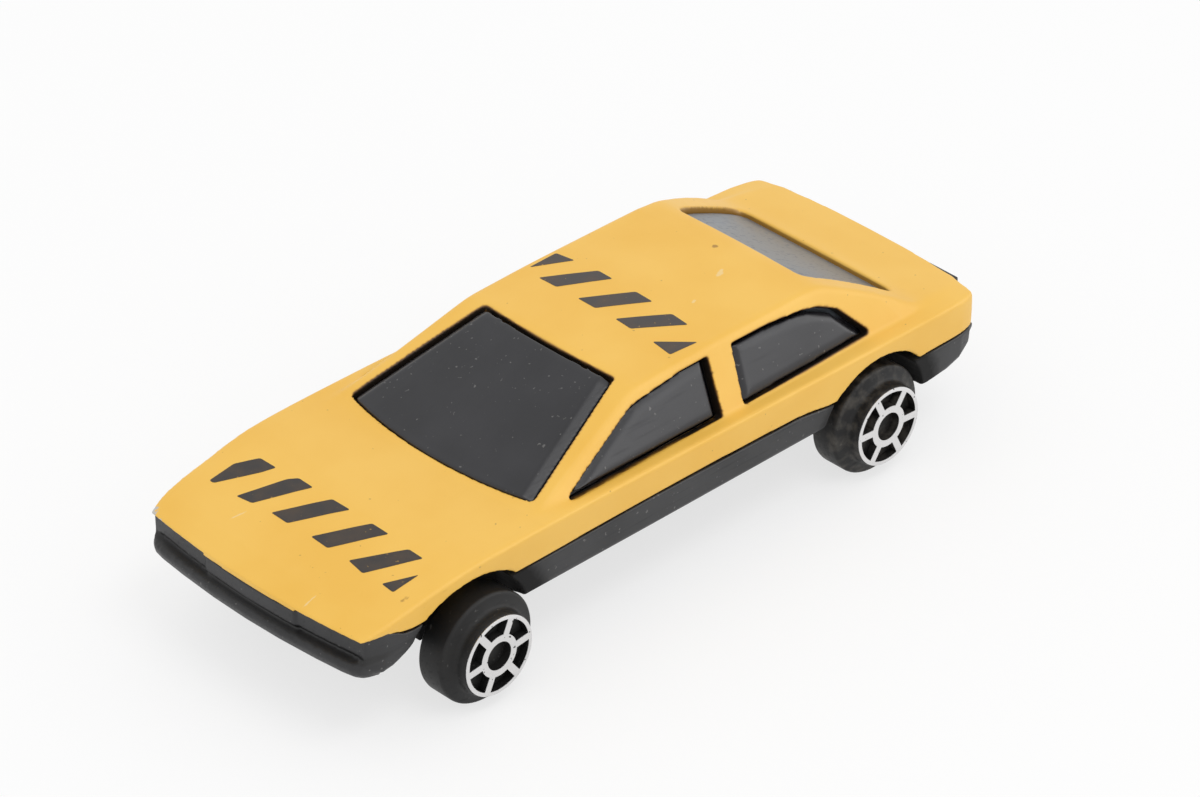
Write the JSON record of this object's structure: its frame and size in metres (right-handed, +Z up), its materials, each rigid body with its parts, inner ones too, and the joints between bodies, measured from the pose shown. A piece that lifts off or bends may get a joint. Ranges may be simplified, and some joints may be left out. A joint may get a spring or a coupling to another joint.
{
  "type": "die-cast toy sports car",
  "caption": "Small wedge-shaped die-cast toy coupe with a painted shell, black window moulding, plastic base and free-rolling wheelsets on steel axles.",
  "frame": {"origin": "centre of the bounding box on the ground plane the wheels stand on", "axes": "+X to the nose, +Y to the car's left, +Z up"},
  "size_m": [0.0734, 0.031, 0.0192],
  "materials": {
    "yellow_paint": "semi-gloss enamel on zinc alloy",
    "black_moulding": "moulded, semi-gloss",
    "black_base": "moulded, satin",
    "axle_steel": "drawn wire",
    "black_wheel": "moulded, satin",
    "silver_foil": "hot-stamped foil"
  },
  "bodies": {
    "car_body": {"body_shell": "yellow_paint", "window_moulding": "black_moulding", "base_plate": "black_base"},
    "front_wheelset": {"axle_front": "axle_steel", "wheel_front_left": "black_wheel", "wheel_front_right": "black_wheel", "foil_front_left": "silver_foil", "foil_front_right": "silver_foil"},
    "rear_wheelset": {"axle_rear": "axle_steel", "wheel_rear_left": "black_wheel", "wheel_rear_right": "black_wheel", "foil_rear_left": "silver_foil", "foil_rear_right": "silver_foil"}
  },
  "joints": [
    {"name": "front_axle_spin", "type": "hinge", "parent": "car_body", "child": "front_wheelset", "pos_m": [0.02298, 0, 0.00505], "axis": [0, 1, 0], "continuous": true},
    {"name": "rear_axle_spin", "type": "hinge", "parent": "car_body", "child": "rear_wheelset", "pos_m": [-0.02362, 0, 0.00505], "axis": [0, 1, 0], "continuous": true}
  ]
}
